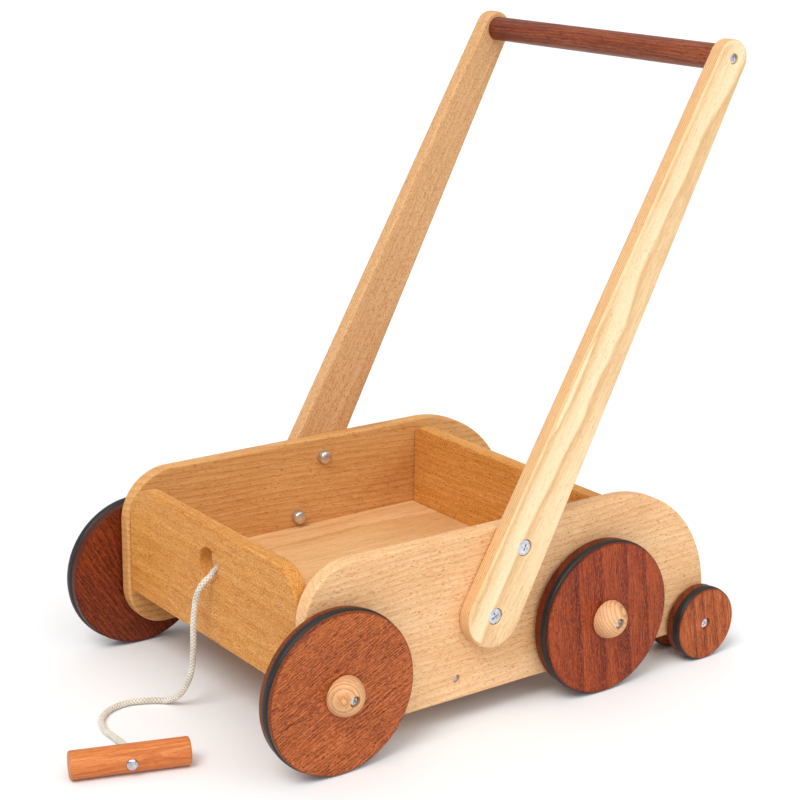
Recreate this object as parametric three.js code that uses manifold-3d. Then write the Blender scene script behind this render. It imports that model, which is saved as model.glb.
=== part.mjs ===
// A wooden push-along baby walker: an open cargo box on four big wheels and four small
// rear wheels, with a tall leaning handle and a pull cord at the front.
// Millimetres. +X is the way it rolls, +Y is its left side, +Z is up, and the floor is Z = 0.
import * as THREE from 'three';
import { mergeVertices } from 'three/addons/utils/BufferGeometryUtils.js';
import Module from 'manifold-3d';

// Driving dimensions.
const GAP = 0.3; // clearance between pieces that touch
const TYRE_R = 61; // big wheel over its rubber ring
const DISC_R = 60;
const DISC_T = 15;
const WHEEL_FACE_Y = 150.6; // outer face of a big wheel
const FRONT_AXLE_X = 161;
const WHEELBASE = 244;
const SMALL_TYRE_R = 30;
const SMALL_DISC_R = 29.4;
const SMALL_DISC_T = 14.5;
const SMALL_FACE_Y = 148.8; // outer face of an outer small wheel
const SMALL_PITCH_Y = 31.8; // outer small wheel to its inner twin
const SMALL_AXLE_X = -192;
const PANEL_OUT_Y = 132;
const PANEL_T = 12;
const PANEL_TOP_Z = 149.3;
const PANEL_BOTTOM_Z = 20.5;
const PANEL_FRONT_X = 181.5;
const PANEL_REAR_X = -202.5;
const PANEL_REAR_R = 98.5;
const BOARD_T = 12;
const BOARD_TOP_Z = 144;
const BOARD_BOTTOM_Z = 54;
const FRONT_BOARD_X = 179.6; // front face of the front board
const REAR_BOARD_X = -98; // front face of the rear board
const CORD_HOLE_R = 13.1;
const CORD_HOLE_Z = 113;
const BASE_TOP_Z = 76;
const BASE_T = 8;
const HOUSING = 4; // how deep the boards are let into the side panels
const RAIL_X = 47.3;
const RAIL_Z = 36.9;
const ARM_T = 13;
const ARM_FOOT = new THREE.Vector2(22.7, 85); // lower bolt, x and z
const ARM_HEAD = new THREE.Vector2(-189, 477.3); // handle bar centre, x and z
const ARM_FOOT_R = 24.5;
const ARM_HEAD_R = 14.2;
const ARM_BOLT_PITCH = 54.5;
const BAR_R = 9.75;
const CORD_D = 4.8;
const GRIP_R = 10.3;
const GRIP_L = 85;
const GRIP_CENTRE = new THREE.Vector3(280.6, 61.3, GRIP_R + 0.2);
const GRIP_TURN = 161.5; // degrees from +X to the grip's axis, about Z

// Sizes that follow from them.
const REAR_AXLE_X = FRONT_AXLE_X - WHEELBASE;
const PANEL_IN_Y = PANEL_OUT_Y - PANEL_T;
const ARM_IN_Y = PANEL_OUT_Y + GAP;
const ARM_OUT_Y = ARM_IN_Y + ARM_T;
const ARM_RUN = ARM_HEAD.clone().sub(ARM_FOOT).normalize();
const ARM_UPPER = ARM_FOOT.clone().addScaledVector(ARM_RUN, ARM_BOLT_PITCH);
const SIDES = [['left', 1], ['right', -1]];
// Each axle's x, and how far the ring grooves of its left and right wheels start from
// their inner faces.
const AXLES = [
  ['front', FRONT_AXLE_X, { left: 4.4, right: 6.8 }],
  ['rear', REAR_AXLE_X, { left: 6.2, right: 6.2 }],
];

// Fasteners: shank radius, head radius, head thickness.
const AXLE_BOLT = { shank: 3, head: 3.8, headT: 3 };
const ARM_BOLT = { shank: 3, head: 6.1, headT: 2.2 };
const BAR_SCREW = { shank: 2, head: 3.6, headT: 2 };
const RAIL_SCREW = { shank: 2, head: 2.8, headT: 2 };
const SMALL_BOLT = { shank: 2.5, head: 4.3, headT: 2.4 };
const NUT_R = 5.4;
const NUT_T = 5;
const RUNNING = 0.35; // radial room between a wheel's bore and its bolt

// How finely round shapes are cut.
const WHEEL_SIDES = 28;
const SMALL_SIDES = 20;
const BOLT_SIDES = 10;
const DOME_STEPS = 4;

const wasm = await Module();
wasm.setup();

const BEECH = { color: 0xebc391, roughness: 0.55, metalness: 0 };
const SAPELE = { color: 0x8e4526, roughness: 0.5, metalness: 0 };
const RUBBER = { color: 0x1b1e1e, roughness: 0.75, metalness: 0 };
const ZINC = { color: 0xb9bec6, roughness: 0.35, metalness: 1 };
const COTTON = { color: 0xe6dfd0, roughness: 0.9, metalness: 0 };
const STAINED = { color: 0xd77846, roughness: 0.5, metalness: 0 };

const walker = new THREE.Group();

function piece(name, geometry, finish, parent = walker) {
  const mesh = new THREE.Mesh(geometry, new THREE.MeshStandardMaterial(finish));
  mesh.name = name;
  parent.add(mesh);
  return mesh;
}

// A closed geometry as a solid that can be cut.
function toSolid(geometry) {
  const bare = geometry.clone();
  bare.deleteAttribute('normal');
  bare.deleteAttribute('uv');
  const merged = mergeVertices(bare, 1e-4);
  const corners = merged.index.array;
  const triangles = [];
  for (let i = 0; i < corners.length; i += 3) {
    const [a, b, c] = corners.subarray(i, i + 3);
    if (a !== b && b !== c && c !== a) triangles.push(a, b, c);
  }
  return new wasm.Manifold(new wasm.Mesh({
    numProp: 3,
    vertProperties: new Float32Array(merged.attributes.position.array),
    triVerts: new Uint32Array(triangles),
  }));
}

function toGeometry(solid) {
  const mesh = solid.getMesh();
  const result = new THREE.BufferGeometry();
  result.setAttribute('position', new THREE.BufferAttribute(mesh.vertProperties, 3));
  result.setIndex(new THREE.BufferAttribute(mesh.triVerts, 1));
  result.computeVertexNormals();
  return result;
}

function cut(geometry, ...cutters) {
  let solid = toSolid(geometry);
  for (const cutter of cutters) solid = solid.subtract(toSolid(cutter));
  return toGeometry(solid);
}

// The same shape for the other side of the walker.
function mirrored(geometry) {
  const result = geometry.clone();
  result.scale(1, -1, 1);
  const corners = result.index.array;
  for (let i = 0; i < corners.length; i += 3) {
    [corners[i], corners[i + 1]] = [corners[i + 1], corners[i]];
  }
  result.computeVertexNormals();
  return result;
}

function forSide(geometry, side) {
  return side > 0 ? geometry : mirrored(geometry);
}

// A round bar along Y, from y0 to y1.
function rod(radius, x, z, y0, y1, sides = 12) {
  const bar = new THREE.CylinderGeometry(radius, radius, y1 - y0, sides);
  return bar.translate(x, (y0 + y1) / 2, z);
}

// A round bar along X, from x0 to x1.
function rodAlongX(radius, y, z, x0, x1, sides = 12) {
  const bar = new THREE.CylinderGeometry(radius, radius, x1 - x0, sides);
  return bar.rotateZ(Math.PI / 2).translate((x0 + x1) / 2, y, z);
}

function block(x0, x1, y0, y1, z0, z1) {
  const box = new THREE.BoxGeometry(x1 - x0, y1 - y0, z1 - z0);
  return box.translate((x0 + x1) / 2, (y0 + y1) / 2, (z0 + z1) / 2);
}

// A shape drawn in x and z, made thickness thick from y0 towards +Y, with eased edges.
function plateXZ(shape, y0, thickness, ease, curveSegments) {
  const plate = new THREE.ExtrudeGeometry(shape, {
    depth: thickness - 2 * ease,
    bevelEnabled: true,
    bevelSize: ease,
    bevelThickness: ease,
    bevelOffset: -ease,
    bevelSegments: 1,
    curveSegments,
  });
  return plate.rotateX(Math.PI / 2).translate(0, y0 + thickness - ease, 0);
}

// A shape drawn in y and z, made thickness thick from x0 towards +X, with eased edges.
function plateYZ(shape, x0, thickness, ease, curveSegments) {
  const plate = new THREE.ExtrudeGeometry(shape, {
    depth: thickness - 2 * ease,
    bevelEnabled: true,
    bevelSize: ease,
    bevelThickness: ease,
    bevelOffset: -ease,
    bevelSegments: 1,
    curveSegments,
  });
  plate.applyMatrix4(new THREE.Matrix4().makeBasis(
    new THREE.Vector3(0, 1, 0),
    new THREE.Vector3(0, 0, 1),
    new THREE.Vector3(1, 0, 0),
  ));
  return plate.translate(x0 + ease, 0, 0);
}

// A profile of [radius, y] corners turned about Y.
function turned(profile, sides) {
  const corners = profile.map(([radius, y]) => new THREE.Vector2(radius, y));
  return new THREE.LatheGeometry(corners, sides);
}

// A bolt along Y: its head's outer face at y = 0 and its shank running to y = -length.
function boltGeometry({ shank, head, headT }, length) {
  return turned([
    [0, -length], [shank, -length], [shank, -headT], [head, -headT], [0.85 * head, 0], [0, 0],
  ], BOLT_SIDES);
}

// How long a bolt is that runs from its head at headY into a nut whose face is at nutY.
function boltReach(headY, nutY) {
  return headY - nutY + NUT_T - 1.5;
}

// A domed nut along Y, with its flat face at y = 0 and its dome towards -Y.
function nutGeometry(shank) {
  return turned([
    [0, -NUT_T - 1.5], [0.85 * NUT_R, -NUT_T + 1], [NUT_R, 0], [shank + GAP, 0],
    [shank + GAP, -NUT_T + 1], [0, -NUT_T + 1],
  ], 12);
}

// The side panels: flat-topped boards with a big round at the back and rounded front
// corners. The boards and the base are let into their inner faces.
function panelShape() {
  const frontTopR = 40;
  const frontBottomR = 33;
  const heelR = 8;
  const shape = new THREE.Shape();
  shape.moveTo(PANEL_REAR_X + heelR, PANEL_BOTTOM_Z);
  shape.lineTo(PANEL_FRONT_X - frontBottomR, PANEL_BOTTOM_Z);
  shape.absarc(PANEL_FRONT_X - frontBottomR, PANEL_BOTTOM_Z + frontBottomR, frontBottomR,
    -Math.PI / 2, 0);
  shape.absarc(PANEL_FRONT_X - frontTopR, PANEL_TOP_Z - frontTopR, frontTopR,
    0, Math.PI / 2);
  shape.absarc(PANEL_REAR_X + PANEL_REAR_R, PANEL_TOP_Z - PANEL_REAR_R, PANEL_REAR_R,
    Math.PI / 2, Math.PI);
  shape.absarc(PANEL_REAR_X + heelR, PANEL_BOTTOM_Z + heelR, heelR,
    Math.PI, 1.5 * Math.PI);
  return shape;
}

// Where the two end boards' stub tenons go, in x.
function tenonSpan(boardX0) {
  return [boardX0 + BOARD_T / 4, boardX0 + 3 * BOARD_T / 4];
}

function addSidePanels() {
  const inner = PANEL_IN_Y - 1;
  const outer = PANEL_OUT_Y + 1;
  const floor = PANEL_IN_Y + HOUSING;
  const cutters = [
    block(REAR_BOARD_X - GAP, FRONT_BOARD_X - BOARD_T + GAP, inner, floor,
      BASE_TOP_Z - BASE_T - GAP, BASE_TOP_Z + GAP),
    rod(ARM_BOLT.shank + GAP, ARM_FOOT.x, ARM_FOOT.y, inner, outer),
    rod(ARM_BOLT.shank + GAP, ARM_UPPER.x, ARM_UPPER.y, inner, outer),
    rod(SMALL_BOLT.shank + GAP, SMALL_AXLE_X, SMALL_TYRE_R, inner, outer),
    rod(RAIL_SCREW.shank + GAP, RAIL_X, RAIL_Z, inner, outer),
    rod(RAIL_SCREW.head + GAP, RAIL_X, RAIL_Z, PANEL_OUT_Y - 4, outer),
  ];
  for (const boardX0 of [FRONT_BOARD_X - BOARD_T, REAR_BOARD_X - BOARD_T]) {
    const [x0, x1] = tenonSpan(boardX0);
    cutters.push(block(x0 - GAP, x1 + GAP, inner, floor,
      BOARD_BOTTOM_Z + 10 - GAP, BOARD_TOP_Z - 40 + GAP));
  }
  for (const [, x] of AXLES) {
    cutters.push(rod(AXLE_BOLT.shank + GAP, x, TYRE_R, inner, outer));
  }
  const left = cut(plateXZ(panelShape(), PANEL_IN_Y, PANEL_T, 2, 8), ...cutters);
  for (const [name, side] of SIDES) {
    piece(`side_panel_${name}`, forSide(left, side), BEECH);
  }
}

// An end board drawn in y and z, with round top corners.
function boardShape(cornerR) {
  const halfWidth = PANEL_IN_Y - GAP;
  const shape = new THREE.Shape();
  shape.moveTo(-halfWidth, BOARD_BOTTOM_Z);
  shape.lineTo(halfWidth, BOARD_BOTTOM_Z);
  shape.absarc(halfWidth - cornerR, BOARD_TOP_Z - cornerR, cornerR, 0, Math.PI / 2);
  shape.absarc(-halfWidth + cornerR, BOARD_TOP_Z - cornerR, cornerR, Math.PI / 2, Math.PI);
  shape.closePath();
  return shape;
}

// Stub tenons on both ends, joined to the board, and the slots that the base needs.
function withTenons(board, boardX0) {
  const [x0, x1] = tenonSpan(boardX0);
  const reach = PANEL_IN_Y + HOUSING - GAP;
  const tenons = block(x0, x1, -reach, reach, BOARD_BOTTOM_Z + 10, BOARD_TOP_Z - 40);
  return toGeometry(toSolid(board).add(toSolid(tenons)));
}

// The point on the inside of the front board where the cord's end is pinned.
const ANCHOR = { y: -3, z: 83.2, shank: 2, head: 6.5, headT: 2.5 };

function addEndBoards() {
  const frontX0 = FRONT_BOARD_X - BOARD_T;
  const front = plateYZ(boardShape(29), frontX0, BOARD_T, 1.6, 8);
  piece('front_board', cut(
    withTenons(front, frontX0),
    rodAlongX(CORD_HOLE_R, 0, CORD_HOLE_Z, frontX0 - 1, FRONT_BOARD_X + 1, 24),
    rodAlongX(ANCHOR.shank + GAP, ANCHOR.y, ANCHOR.z, frontX0 - 1, frontX0 + 8.5, 12),
  ), BEECH);
  const rearX0 = REAR_BOARD_X - BOARD_T;
  const rear = plateYZ(boardShape(10), rearX0, BOARD_T, 1.6, 5);
  piece('rear_board', withTenons(rear, rearX0), BEECH);
}

// The load floor, housed in the side panels between the two end boards.
function addBase() {
  const halfWidth = PANEL_IN_Y + HOUSING - GAP;
  piece('base_board', block(REAR_BOARD_X + GAP, FRONT_BOARD_X - BOARD_T - GAP,
    -halfWidth, halfWidth, BASE_TOP_Z - BASE_T, BASE_TOP_Z), BEECH);
}

// A rail under the base that ties the two panels, with a screw from each side.
function addCrossRail() {
  const halfWidth = PANEL_IN_Y - GAP;
  const screwL = 34;
  const pilots = [
    rod(RAIL_SCREW.shank + GAP, RAIL_X, RAIL_Z, halfWidth - screwL, halfWidth + 1, 12),
    rod(RAIL_SCREW.shank + GAP, RAIL_X, RAIL_Z, -halfWidth - 1, screwL - halfWidth, 12),
  ];
  const rail = block(RAIL_X - 9, RAIL_X + 9, -halfWidth, halfWidth, RAIL_Z - 12, RAIL_Z + 12);
  piece('cross_rail', cut(rail, ...pilots), BEECH);
  for (const [name, side] of SIDES) {
    const screw = piece(`cross_rail_screw_${name}`, boltGeometry(RAIL_SCREW, screwL), ZINC);
    screw.position.set(RAIL_X, side * (PANEL_OUT_Y - 1.6), RAIL_Z);
    screw.rotation.z = side > 0 ? 0 : Math.PI;
  }
}

// A handle arm drawn in x and z: two round ends joined by their common tangents.
function armShape() {
  const length = ARM_HEAD.distanceTo(ARM_FOOT);
  const lean = Math.atan2(ARM_RUN.y, ARM_RUN.x);
  const flare = Math.asin((ARM_FOOT_R - ARM_HEAD_R) / length);
  const halfTurn = Math.PI / 2 - flare;
  const shape = new THREE.Shape();
  shape.absarc(ARM_FOOT.x, ARM_FOOT.y, ARM_FOOT_R, lean + halfTurn, lean - halfTurn + 2 * Math.PI);
  shape.absarc(ARM_HEAD.x, ARM_HEAD.y, ARM_HEAD_R, lean - halfTurn, lean + halfTurn);
  shape.closePath();
  return shape;
}

function addHandle() {
  const boltSink = 3;
  const screwSink = 3.2;
  const socket = 3;
  const inner = ARM_IN_Y - 1;
  const outer = ARM_OUT_Y + 1;
  const cutters = [
    rod(BAR_R + GAP, ARM_HEAD.x, ARM_HEAD.y, inner, ARM_IN_Y + socket, 24),
    rod(BAR_SCREW.shank + GAP, ARM_HEAD.x, ARM_HEAD.y, inner, outer, 12),
    rod(4, ARM_HEAD.x, ARM_HEAD.y, ARM_OUT_Y - screwSink, outer),
  ];
  for (const at of [ARM_FOOT, ARM_UPPER]) {
    cutters.push(rod(ARM_BOLT.shank + GAP, at.x, at.y, inner, outer));
    cutters.push(rod(ARM_BOLT.head + GAP, at.x, at.y, ARM_OUT_Y - boltSink, outer, 16));
  }
  const left = cut(plateXZ(armShape(), ARM_IN_Y, ARM_T, 2.5, 10), ...cutters);
  const screwL = 30;
  const boltY = ARM_OUT_Y - boltSink + GAP + ARM_BOLT.headT;
  const nutY = PANEL_IN_Y - GAP;
  const boltL = boltReach(boltY, nutY);
  const barReach = ARM_IN_Y + socket - GAP;
  const headY = ARM_OUT_Y - screwSink + GAP + BAR_SCREW.headT;
  piece('handle_bar', cut(
    rod(BAR_R, ARM_HEAD.x, ARM_HEAD.y, -barReach, barReach, 24),
    rod(BAR_SCREW.shank + GAP, ARM_HEAD.x, ARM_HEAD.y, headY - screwL - 1, barReach + 1, 12),
    rod(BAR_SCREW.shank + GAP, ARM_HEAD.x, ARM_HEAD.y, -barReach - 1, screwL + 1 - headY, 12),
  ), SAPELE);
  for (const [name, side] of SIDES) {
    const turn = side > 0 ? 0 : Math.PI;
    piece(`handle_arm_${name}`, forSide(left, side), BEECH);
    const screw = piece(`handle_bar_screw_${name}`, boltGeometry(BAR_SCREW, screwL), ZINC);
    screw.position.set(ARM_HEAD.x, side * headY, ARM_HEAD.y);
    screw.rotation.z = turn;
    for (const [level, at] of [['lower', ARM_FOOT], ['upper', ARM_UPPER]]) {
      const bolt = piece(`arm_bolt_${name}_${level}`, boltGeometry(ARM_BOLT, boltL), ZINC);
      bolt.position.set(at.x, side * boltY, at.y);
      bolt.rotation.z = turn;
      const nut = piece(`arm_nut_${name}_${level}`, nutGeometry(ARM_BOLT.shank), ZINC);
      nut.position.set(at.x, side * nutY, at.y);
      nut.rotation.z = turn;
    }
  }
}

// A turned wheel with a groove for its rubber ring, its inner face at y = 0.
function discGeometry(radius, thickness, groove, boreR, sink, sides) {
  const [groove0, groove1, depth] = groove;
  return turned([
    [boreR, 0], [radius, 0], [radius, groove0], [radius - depth, groove0],
    [radius - depth, groove1], [radius, groove1], [radius, thickness], [sink.r, thickness],
    [sink.r, thickness - sink.depth], [boreR, thickness - sink.depth], [boreR, 0],
  ], sides);
}

// The rubber ring that fills the groove, a little proud of the wood.
function tyreGeometry(radius, tyreR, groove, sides) {
  const [groove0, groove1, depth] = groove;
  const inner = radius - depth + GAP;
  const y0 = groove0 + GAP;
  const y1 = groove1 - GAP;
  return turned([[inner, y0], [tyreR, y0], [tyreR, y1], [inner, y1], [inner, y0]], sides);
}

function addBigWheels() {
  const grooveW = 6.8;
  const boreR = AXLE_BOLT.shank + RUNNING;
  const sink = { r: boreR + 1, depth: 0.6 };
  const hubR = 15;
  const headSink = 5.2;
  for (const [end, x, grooveStarts] of AXLES) {
    for (const [name, side] of SIDES) {
      const groove = [grooveStarts[name], grooveStarts[name] + grooveW, 4];
      const wheel = new THREE.Group();
      wheel.position.set(x, side * (WHEEL_FACE_Y - DISC_T), TYRE_R);
      wheel.rotation.z = side > 0 ? 0 : Math.PI;
      walker.add(wheel);
      const tag = `${end}_${name}`;
      piece(`wheel_disc_${tag}`,
        discGeometry(DISC_R, DISC_T, groove, boreR, sink, WHEEL_SIDES), SAPELE, wheel);
      piece(`wheel_tyre_${tag}`,
        tyreGeometry(DISC_R, TYRE_R, groove, WHEEL_SIDES), RUBBER, wheel);
      // The half-ball hub cap stays still with the bolt, and keeps the wheel on.
      const dome = [];
      const rimAngle = Math.acos((AXLE_BOLT.head + 0.5) / hubR);
      for (let i = 0; i <= DOME_STEPS; i += 1) {
        const angle = (rimAngle * i) / DOME_STEPS;
        dome.push([hubR * Math.cos(angle), hubR * Math.sin(angle)]);
      }
      const headR = AXLE_BOLT.head + 0.5;
      const cap = piece(`hub_cap_${tag}`, turned([
        [AXLE_BOLT.shank + GAP, 0], ...dome, [headR, hubR - headSink],
        [AXLE_BOLT.shank + GAP, hubR - headSink], [AXLE_BOLT.shank + GAP, 0],
      ], 20), BEECH, wheel);
      cap.position.y = DISC_T + GAP;
      const headY = DISC_T + GAP + hubR - headSink + GAP + AXLE_BOLT.headT;
      const nutY = PANEL_IN_Y - GAP - (WHEEL_FACE_Y - DISC_T);
      const bolt = piece(`axle_bolt_${tag}`,
        boltGeometry(AXLE_BOLT, boltReach(headY, nutY)), ZINC, wheel);
      bolt.position.y = headY;
      const nut = piece(`axle_nut_${tag}`, nutGeometry(AXLE_BOLT.shank), ZINC, wheel);
      nut.position.y = nutY;
    }
  }
}

// The small rear wheels run in pairs on one bolt, with the panel between them.
function addSmallWheels() {
  const groove = [5.9, 13.2, 3];
  const boreR = SMALL_BOLT.shank + RUNNING;
  const sink = { r: 4.7, depth: 4 };
  for (const [name, side] of SIDES) {
    const axle = new THREE.Group();
    axle.position.set(SMALL_AXLE_X, side * (SMALL_FACE_Y - SMALL_DISC_T), SMALL_TYRE_R);
    axle.rotation.z = side > 0 ? 0 : Math.PI;
    walker.add(axle);
    for (const [place, shift] of [['outer', 0], ['inner', -SMALL_PITCH_Y]]) {
      const disc = piece(`small_wheel_disc_${name}_${place}`,
        discGeometry(SMALL_DISC_R, SMALL_DISC_T, groove, boreR, sink, SMALL_SIDES), SAPELE, axle);
      disc.position.y = shift;
      const tyre = piece(`small_wheel_tyre_${name}_${place}`,
        tyreGeometry(SMALL_DISC_R, SMALL_TYRE_R, groove, SMALL_SIDES), RUBBER, axle);
      tyre.position.y = shift;
    }
    const headY = SMALL_DISC_T - sink.depth + GAP + SMALL_BOLT.headT;
    const nutY = -SMALL_PITCH_Y - GAP;
    const bolt = piece(`small_axle_bolt_${name}`,
      boltGeometry(SMALL_BOLT, boltReach(headY, nutY)), ZINC, axle);
    bolt.position.y = headY;
    const nut = piece(`small_axle_nut_${name}`, nutGeometry(SMALL_BOLT.shank), ZINC, axle);
    nut.position.y = nutY;
  }
}

// The braided pull cord: pinned behind the front board, out through the hole over its
// lower lip, down to the floor, and in a loose curve to the grip's side.
function cordPoints() {
  const lie = CORD_D / 2 + 0.2;
  const across = (GRIP_TURN - 90) * Math.PI / 180;
  const toward = new THREE.Vector3(Math.cos(across), Math.sin(across), 0);
  const points = [
    [164.9, -3, 86], [164.9, -2.9, 92.5], [164.7, -2.4, 99.9], [166.7, -1.2, 106.4],
    [171.1, 1, 109.4], [176.8, 4.4, 109], [182.6, 8.2, 107.2], [188.2, 7.6, 103],
    [192.2, 5.6, 94.5], [194, 4.2, 82], [194.8, 3.6, 67], [195.1, 3.2, 50],
    [195.6, 1.2, 33.5], [197.6, -4.8, 18.5], [200.9, -12.4, 8], [206.4, -21.8, lie],
    [216.8, -29.2, lie], [231.8, -34.4, lie], [248.6, -30.6, lie], [260.6, -19.7, lie],
    [266.6, -3.4, lie], [267.2, 15, 3.4], [270, 31, 6.4], [274.2, 43.4, 9.6],
  ].map(([x, y, z]) => new THREE.Vector3(x, y, z));
  for (const back of [GRIP_R + 1, GRIP_R - 3, GRIP_R - 7]) {
    points.push(GRIP_CENTRE.clone().addScaledVector(toward, -back));
  }
  return points;
}

function addPullCord() {
  const section = new THREE.Shape();
  section.absarc(0, 0, CORD_D / 2, 0, 2 * Math.PI);
  const route = new THREE.CatmullRomCurve3(cordPoints(), false, 'centripetal');
  const steps = Math.ceil(route.getLength() / (2 * CORD_D));
  piece('pull_cord', new THREE.ExtrudeGeometry(section, {
    steps,
    extrudePath: route,
    curveSegments: 5,
    bevelEnabled: false,
  }), COTTON);

  const anchor = piece('cord_anchor_screw', boltGeometry(ANCHOR, 16), ZINC);
  anchor.rotation.z = Math.PI / 2;
  anchor.position.set(FRONT_BOARD_X - BOARD_T - CORD_D - 2 * GAP - ANCHOR.headT,
    ANCHOR.y, ANCHOR.z);

  const grip = new THREE.Group();
  grip.position.copy(GRIP_CENTRE);
  grip.rotation.z = (GRIP_TURN - 90) * Math.PI / 180;
  walker.add(grip);
  const half = GRIP_L / 2;
  const chamfer = 1.4;
  const dowel = turned([
    [0, -half], [GRIP_R - chamfer, -half], [GRIP_R, chamfer - half], [GRIP_R, half - chamfer],
    [GRIP_R - chamfer, half], [0, half],
  ], 24);
  const rivet = { shank: 1.8, head: 4.2, headT: 1.8 };
  piece('pull_grip', cut(dowel,
    rodAlongX(CORD_D / 2 + GAP, 0, 0, -GRIP_R - 1, -2.5, 16),
    rodAlongX(rivet.shank + GAP, 0, 0, 1, GRIP_R + 1, 12),
  ), STAINED, grip);
  const stud = piece('grip_rivet', turned([
    [0, -8], [rivet.shank, -8], [rivet.shank, 0], [rivet.head, 0],
    [0.7 * rivet.head, 0.8 * rivet.headT], [0, rivet.headT],
  ], 12), ZINC, grip);
  stud.rotation.z = -Math.PI / 2;
  stud.position.x = GRIP_R + GAP;
}

addSidePanels();
addEndBoards();
addBase();
addCrossRail();
addHandle();
addBigWheels();
addSmallWheels();
addPullCord();

export default walker;
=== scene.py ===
import math

import bmesh
import bpy
from mathutils import Matrix, Vector


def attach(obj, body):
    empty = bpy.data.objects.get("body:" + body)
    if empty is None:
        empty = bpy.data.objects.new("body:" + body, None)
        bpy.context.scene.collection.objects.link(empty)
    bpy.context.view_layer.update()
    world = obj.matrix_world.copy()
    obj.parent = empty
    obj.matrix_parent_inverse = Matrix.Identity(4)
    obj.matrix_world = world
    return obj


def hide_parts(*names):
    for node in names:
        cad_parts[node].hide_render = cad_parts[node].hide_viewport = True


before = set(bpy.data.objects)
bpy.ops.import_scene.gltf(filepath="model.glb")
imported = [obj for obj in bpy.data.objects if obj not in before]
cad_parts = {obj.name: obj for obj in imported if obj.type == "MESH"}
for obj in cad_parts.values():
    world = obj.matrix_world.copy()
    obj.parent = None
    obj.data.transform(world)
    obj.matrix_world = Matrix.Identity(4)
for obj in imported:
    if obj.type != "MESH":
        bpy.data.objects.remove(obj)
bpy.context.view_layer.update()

# ---------------------------------------------------------------------------
# The side panels: two 12 mm beech boards cut to a flat-topped outline with a
# big round at the back, edges eased with a round-over, drilled for the axles
# and for the handle bolts. The boards between them are glued into them.
# ---------------------------------------------------------------------------
MM = 0.001
LEFT, RIGHT = 1, -1
SIDES = {"left": LEFT, "right": RIGHT}
PANEL_IN_Y = 120.0
PANEL_OUT_Y = 132.0
PANEL_FRONT_X = 181.5
PANEL_REAR_X = -202.5
PANEL_TOP_Z = 149.3
PANEL_BOTTOM_Z = 20.5
PANEL_EASE = 2.0
HEEL_R = 8.0
FRONT_BOTTOM_R = 33.0
FRONT_TOP_R = 40.0
BACK_R = 98.5
BOLT_BORE_R = 3.3
SMALL_BOLT_BORE_R = 2.8
SCREW_BORE_R = 2.3
RAIL_SCREW_SINK = (3.1, PANEL_OUT_Y - 4)
DRILL_FROM_Y = PANEL_IN_Y - 2
AXLE_X = {"front": 161.0, "rear": -83.0}
AXLE_Z = 61.0
SMALL_AXLE = (-192.0, 30.0)
RAIL_SCREW_AT = (47.3, 36.9)
ARM_FOOT = Vector((22.7, 85.0))
ARM_HEAD = Vector((-189.0, 477.3))
ARM_RUN = (ARM_HEAD - ARM_FOOT).normalized()
ARM_UPPER = ARM_FOOT + 54.5 * ARM_RUN
SMOOTH_ANGLE = math.radians(38)


def arc(centre, radius, start, end, steps):
    """Points of a round corner, from one angle to the other, in degrees."""
    points = []
    for i in range(steps + 1):
        angle = math.radians(start + (end - start) * i / steps)
        points.append((centre[0] + radius * math.cos(angle), centre[1] + radius * math.sin(angle)))
    return points


def smooth_but_crisp(mesh):
    """Shades rounds smoothly and keeps real corners sharp."""
    work = bmesh.new()
    work.from_mesh(mesh)
    bmesh.ops.remove_doubles(work, verts=work.verts, dist=0.00002)
    bmesh.ops.dissolve_degenerate(work, edges=work.edges, dist=0.000005)
    bmesh.ops.recalc_face_normals(work, faces=work.faces)
    for face in work.faces:
        face.smooth = True
    for edge in work.edges:
        edge.smooth = edge.calc_face_angle(0) < SMOOTH_ANGLE
    work.to_mesh(mesh)
    work.free()


def add_piece(name, mesh):
    """Puts a finished mesh into the scene."""
    piece = bpy.data.objects.new(name, mesh)
    bpy.context.scene.collection.objects.link(piece)
    return piece


def flat_normals(piece):
    """Lets the broad faces lead the shading, so an eased edge reads as a crisp round-over."""
    even = piece.modifiers.new("broad faces lead", "WEIGHTED_NORMAL")
    even.keep_sharp = True


def eased_board(name, outline, plane, low, high, ease):
    """A board of this outline, from low to high across its plane, with rounded-over edges."""
    curve = bpy.data.curves.new(name, "CURVE")
    curve.dimensions = "2D"
    curve.fill_mode = "BOTH"
    curve.extrude = ((high - low) / 2 - ease) * MM
    curve.bevel_depth = ease * MM
    curve.bevel_resolution = 3
    curve.offset = -ease * MM
    spline = curve.splines.new("POLY")
    spline.points.add(len(outline) - 1)
    spline.use_cyclic_u = True
    for point, (u, v) in zip(spline.points, outline):
        point.co = (u * MM, v * MM, 0, 1)
    drawing = bpy.data.objects.new(name + "_drawing", curve)
    bpy.context.scene.collection.objects.link(drawing)
    bpy.context.view_layer.update()
    settled = drawing.evaluated_get(bpy.context.evaluated_depsgraph_get())
    mesh = bpy.data.meshes.new_from_object(settled)
    mesh.name = name
    bpy.data.objects.remove(drawing)
    bpy.data.curves.remove(curve)
    middle = (low + high) / 2 * MM
    if plane == "xz":
        stand = Matrix(((1, 0, 0, 0), (0, 0, 1, middle), (0, 1, 0, 0), (0, 0, 0, 1)))
    elif plane == "yz":
        stand = Matrix(((0, 0, 1, middle), (1, 0, 0, 0), (0, 1, 0, 0), (0, 0, 0, 1)))
    else:
        stand = Matrix.Translation((0, 0, middle))
    mesh.transform(stand)
    smooth_but_crisp(mesh)
    return add_piece(name, mesh)


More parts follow.
